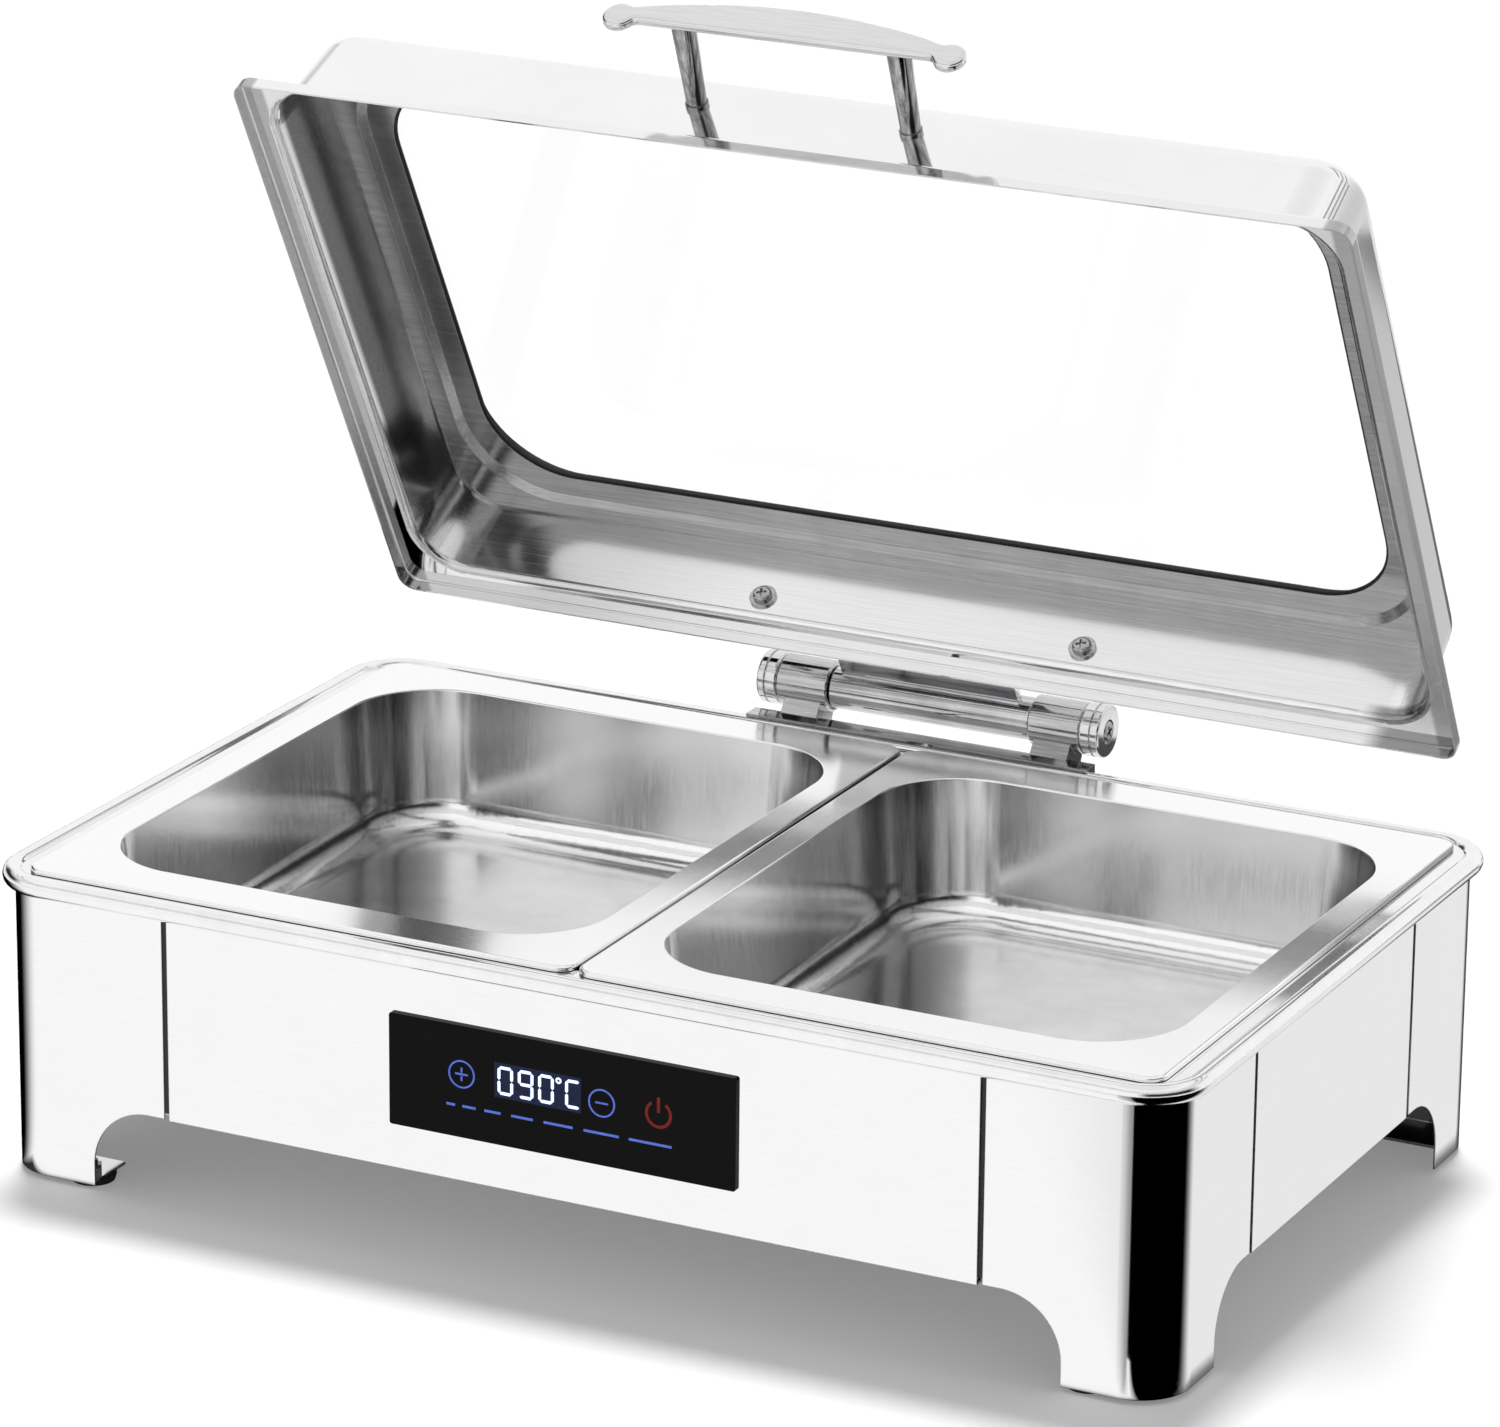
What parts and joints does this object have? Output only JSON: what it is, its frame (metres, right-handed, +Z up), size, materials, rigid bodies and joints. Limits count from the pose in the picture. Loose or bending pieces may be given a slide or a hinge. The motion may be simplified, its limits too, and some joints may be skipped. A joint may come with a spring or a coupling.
{
  "type": "electric buffet server",
  "caption": "Electric buffet server: steel body on four corner legs, water pan, lift-out food pans, touch panel and a hinged lid with a glass window.",
  "frame": {"origin": "on the surface it stands on, in the middle of the overall width and of the overall depth from the rim's front edge to the back of the hinge caps", "axes": "+X across the width to the right seen from the front, +Y from the front to the rear, +Z up; stored with the lid open 61.2 degrees and both food pans seated"},
  "size_m": [0.563, 0.3766, 0.504],
  "materials": {
    "polished_steel": "bright polished stainless steel",
    "chrome": "polished chrome plate",
    "satin_steel": "satin brushed stainless steel",
    "black_frame": "black powder coat",
    "zinc_steel": "zinc plated sheet and small parts",
    "screw_steel": "machined stainless steel",
    "heater_aluminium": "cast aluminium with a dull surface",
    "rubber_black": "black rubber",
    "window_glass": "clear toughened glass",
    "panel_glass": "black gloss touch panel",
    "plastic_black": "black moulded plastic",
    "circuit_green": "green circuit board with its parts",
    "spring_brass": "plated spring wire",
    "terminal_white": "off-white moulded plastic",
    "wire_insulation": "insulated wire"
  },
  "bodies": {
    "base": {"board_standoffs": "zinc_steel", "bottom_cover": "zinc_steel", "chassis_frame": "black_frame", "control_box": "plastic_black", "control_glass": "panel_glass", "cover_screws": "screw_steel", "disc_springs": "screw_steel", "display_module": "plastic_black", "foot_screws": "screw_steel", "front_panel": "polished_steel", "heater_clamps": "zinc_steel", "heater_plate_left": "heater_aluminium", "heater_plate_right": "heater_aluminium", "hinge_base_bracket": "chrome", "hinge_bolts": "zinc_steel", "hinge_cap_left": "chrome", "hinge_cap_right": "chrome", "hinge_inner_plate": "zinc_steel", "hinge_shaft": "screw_steel", "hinge_spacers": "zinc_steel", "inlet_pins": "spring_brass", "inlet_screws": "screw_steel", "leg_front_left": "polished_steel", "leg_front_right": "polished_steel", "leg_rear_left": "polished_steel", "leg_rear_right": "polished_steel", "mains_inlet": "plastic_black", "power_board": "circuit_green", "rear_panel": "polished_steel", "rim": "polished_steel", "rubber_feet": "rubber_black", "side_panel_left": "polished_steel", "side_panel_right": "polished_steel", "temperature_sensor": "zinc_steel", "terminal_block": "terminal_white", "thermal_cutout": "plastic_black", "touch_board": "circuit_green", "touch_springs": "spring_brass", "water_pan": "satin_steel", "wiring_loom": "wire_insulation"},
    "lid": {"damper_tube": "chrome", "tube_bushings": "plastic_black", "lid_hinge_bracket": "chrome", "lid_shell": "polished_steel", "window_frame": "satin_steel", "window_gasket": "rubber_black", "window_pane": "window_glass", "frame_clips": "zinc_steel", "handle_grip": "polished_steel", "handle_post_left": "chrome", "handle_post_right": "chrome", "handle_screws": "screw_steel", "lid_screws": "screw_steel", "lid_washers": "zinc_steel"},
    "food_pan_left": {"food_pan_left": "satin_steel"},
    "food_pan_right": {"food_pan_right": "satin_steel"},
    "hinge_adjuster_left": {"hinge_adjuster_left": "screw_steel"},
    "hinge_adjuster_right": {"hinge_adjuster_right": "screw_steel"}
  },
  "joints": [
    {"name": "lid_hinge", "type": "hinge", "parent": "base", "child": "lid", "pos_m": [0, 0.17602, 0.1525], "axis": [-1, 0, 0], "range_deg": [-61.2, 28.8]},
    {"name": "food_pan_left_lift", "type": "slide", "parent": "base", "child": "food_pan_left", "axis": [0, -0.2874, 0.9578], "range_m": [0, 0.079]},
    {"name": "food_pan_right_lift", "type": "slide", "parent": "base", "child": "food_pan_right", "axis": [0, -0.2874, 0.9578], "range_m": [0, 0.079]},
    {"name": "hinge_adjuster_left_turn", "type": "hinge", "parent": "base", "child": "hinge_adjuster_left", "pos_m": [-0.076, 0.17602, 0.1525], "axis": [-1, 0, 0], "range_deg": [0, 180]},
    {"name": "hinge_adjuster_right_turn", "type": "hinge", "parent": "base", "child": "hinge_adjuster_right", "pos_m": [0.076, 0.17602, 0.1525], "axis": [1, 0, 0], "range_deg": [0, 180]}
  ]
}
